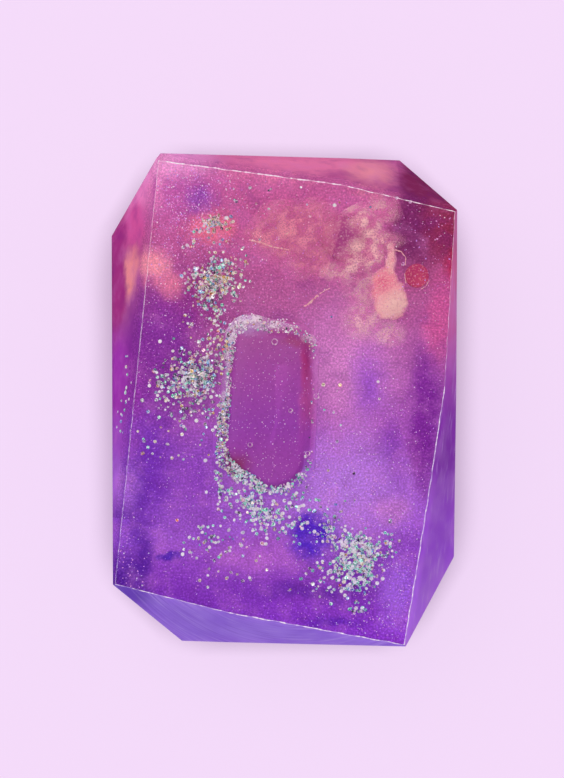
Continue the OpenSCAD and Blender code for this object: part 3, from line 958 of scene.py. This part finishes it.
form = bmesh.new()
for x, y, radius in [
    (-1.3, 9.4, 0.46), (5.5, 0.5, 0.42), (-5.3, -7.4, 0.34), (1.3, -1.8, 0.3), (4.1, -8.8, 0.34),
    (19.6, 22.1, 0.2), (18.6, 32.9, 0.18), (20.8, 32.2, 0.16),
]:
    turns, last = 28, []
    for k in range(turns + 1):
        angle = math.tau * k / turns
        # painted highlight: the ring is thicker on the side towards the light
        thick = 0.09 + 0.05 * math.cos(angle - 5.3)
        loop = [form.verts.new(Vector((
            x + math.cos(angle) * (radius + thick * math.cos(turn)),
            y + math.sin(angle) * (radius + thick * math.cos(turn)),
            face_top - BUBBLE_DEPTH + thick * math.sin(turn))) * MM)
            for turn in (0, 1.57, 3.14, 4.71)]
        for j in range(4 if last else 0):
            form.faces.new((last[j - 1], last[j], loop[j], loop[j - 1]))
        last = loop


def paint_ring(start):
    """A painted highlight: a pale rim with brighter painted glints."""
    glint = spot_in_mm(start).grain(0.5, 1.0).ease(0.4, 0.65)
    return {"Base Color": glint.over(dye(206, 140, 206), dye(255, 232, 240))}


place("ring_bubbles", form, [finish("painted bubble highlight", paint_ring, Roughness=0.3)], "clear_soap")

# Knife burrs: thin ragged lips of soap that the blade turned up along the
# edges of the face, whitest along the rose end.


BURR_STEP = 0.3       # between the ribs of a lip


def burr(form, a, b, width, gaps, seed, bow=0.0, wander=0.12):
    """A lip along an edge from a to b, broken here and there."""
    draw = random.Random(seed)
    run = b - a
    steps = round(run.length / BURR_STEP)
    side = Vector((-run.y, run.x)).normalized()
    last = None
    for k in range(steps + 1):
        share = k / steps
        middle = a + run * share + side * bow * math.sin(math.pi * share)
        middle += side * noise.noise(Vector((share * run.length * 0.5, seed, 0))) * wander
        thick = width * draw.uniform(0.35, 1)
        if noise.noise(Vector((k * 0.22, seed * 2.0, 1))) < gaps:
            thick *= 0.3
        lift = thick * draw.uniform(0.2, 0.6)
        rib = [form.verts.new(Vector((spot.x, spot.y, face_top + z)) * MM) for spot, z in (
            (middle - side * thick / 2, 0.005), (middle, lift), (middle + side * thick / 2, 0.005))]
        if last:
            form.faces.new((last[0], last[1], rib[1], rib[0]))
            form.faces.new((last[1], last[2], rib[2], rib[1]))
        last = rib


def paint_burr(start):
    """Lavender at the foot and pink at the rose end, whitest where it is torn."""
    spot = spot_in_mm(start)
    colour = spot.axis(1).ease(-10, 36).over(dye(206, 176, 240), dye(250, 206, 232))
    torn = spot.grain(0.5, 2.0).ease(0.35, 0.65)
    return {"Base Color": torn.over(colour, dye(255, 244, 250))}


rose_left, rose_middle = corner_near(-20, 39), corner_near(9, 35)
crimson_corner, right_middle = corner_near(28, 31), corner_near(26, 2)
foot_right, foot_middle, foot_left = corner_near(20, -40), corner_near(-9, -35), corner_near(-27, -30)
form = bmesh.new()
for a, b, width, gaps, bow in [
    (rose_left, rose_middle, 0.26, -0.1, 0.0), (rose_middle, crimson_corner, 0.16, 0.0, 0.0),
    (crimson_corner, right_middle, 0.07, 0.0, 0.0), (right_middle, foot_right, 0.18, -0.3, 0.15),
    (foot_right, foot_middle, 0.22, -0.1, 0.0), (foot_middle, foot_left, 0.16, 0.0, 0.0),
    (foot_left, rose_left, 0.08, -0.1, 0.0),
]:
    burr(form, a, b, width, gaps, len(form.verts) + 3, bow)
place("knife_burrs", form, [finish("turned soap", paint_burr, Roughness=0.5)], "clear_soap")

# Stage: a plain lavender sheet that glows evenly, with a narrow painted shadow
# where the bar stands on it, in a pale room with a large soft lamp up to the
# left. The camera looks straight down through a long lens.


def paint_sheet(start):
    """Even lavender, with a painted shadow close to the bar."""
    # painted shadow: ambient occlusion darkens the glow and the colour near the bar
    near = start.node("AmbientOcclusion", {"samples": 24}, {"Distance": 8 * MM}, 1)
    return {"Base Color": near.over(dye(88, 78, 91), dye(99, 88, 102)),
            "Emission Color": near.ease(0.6, 1).over(dye(196, 171, 200), dye(244, 219, 249))}


form = bmesh.new()
bmesh.ops.create_grid(form, x_segments=1, y_segments=1, size=4)
mesh = bpy.data.meshes.new("sheet")
form.to_mesh(mesh)
form.free()
mesh.materials.append(finish("lavender sheet", paint_sheet, Roughness=0.9, Specular_IOR_Level=0.0,
                             Emission_Strength=0.875))
sheet = bpy.data.objects.new("sheet", mesh)
bpy.context.scene.collection.objects.link(sheet)
sheet.location.z = -0.05 * MM
sheet.visible_glossy = False

world = bpy.data.worlds.new("pale room")
bpy.context.scene.world = world
world.use_nodes = True
room = Wire(world.node_tree)
up = room.node("TexCoord", {}, {}, 0).axis(2)
light = up.ease(0.1, 0.7).over(dye(255, 252, 255), dye(222, 218, 224))      # walls, ceiling
light = up.ease(-0.05, 0.05).over(dye(90, 50, 104), light)                  # floor
light = up.ease(0.955, 0.985).over(light, dye(70, 64, 74))                  # dark panel overhead
background = world.node_tree.nodes["Background"]
world.node_tree.links.new(light.port, background.inputs["Color"])
background.inputs["Strength"].default_value = 1.0

lamp = bpy.data.lights.new("soft lamp", "SUN")
lamp.energy, lamp.angle = 0.9, math.radians(50)
lamp.color = (1, 0.98, 0.96)
key = bpy.data.objects.new("soft lamp", lamp)
key.rotation_euler = Vector((0.45, -0.4, -1)).to_track_quat("-Z", "Y").to_euler()
bpy.context.scene.collection.objects.link(key)

CAMERA_HEIGHT = 0.7   # above the face
FIELD = 0.1268        # how much of the sheet's length the camera sees, at the face
lens = bpy.data.cameras.new("camera")
lens.sensor_width, lens.lens = 36, 36 * CAMERA_HEIGHT / FIELD
lens.clip_start, lens.clip_end = 0.01, 10
camera = bpy.data.objects.new("camera", lens)
camera.location = (-0.1 * MM, 1.7 * MM, face_top * MM + CAMERA_HEIGHT)
bpy.context.scene.collection.objects.link(camera)
bpy.context.scene.camera = camera
bpy.context.scene.view_settings.view_transform = "Standard"
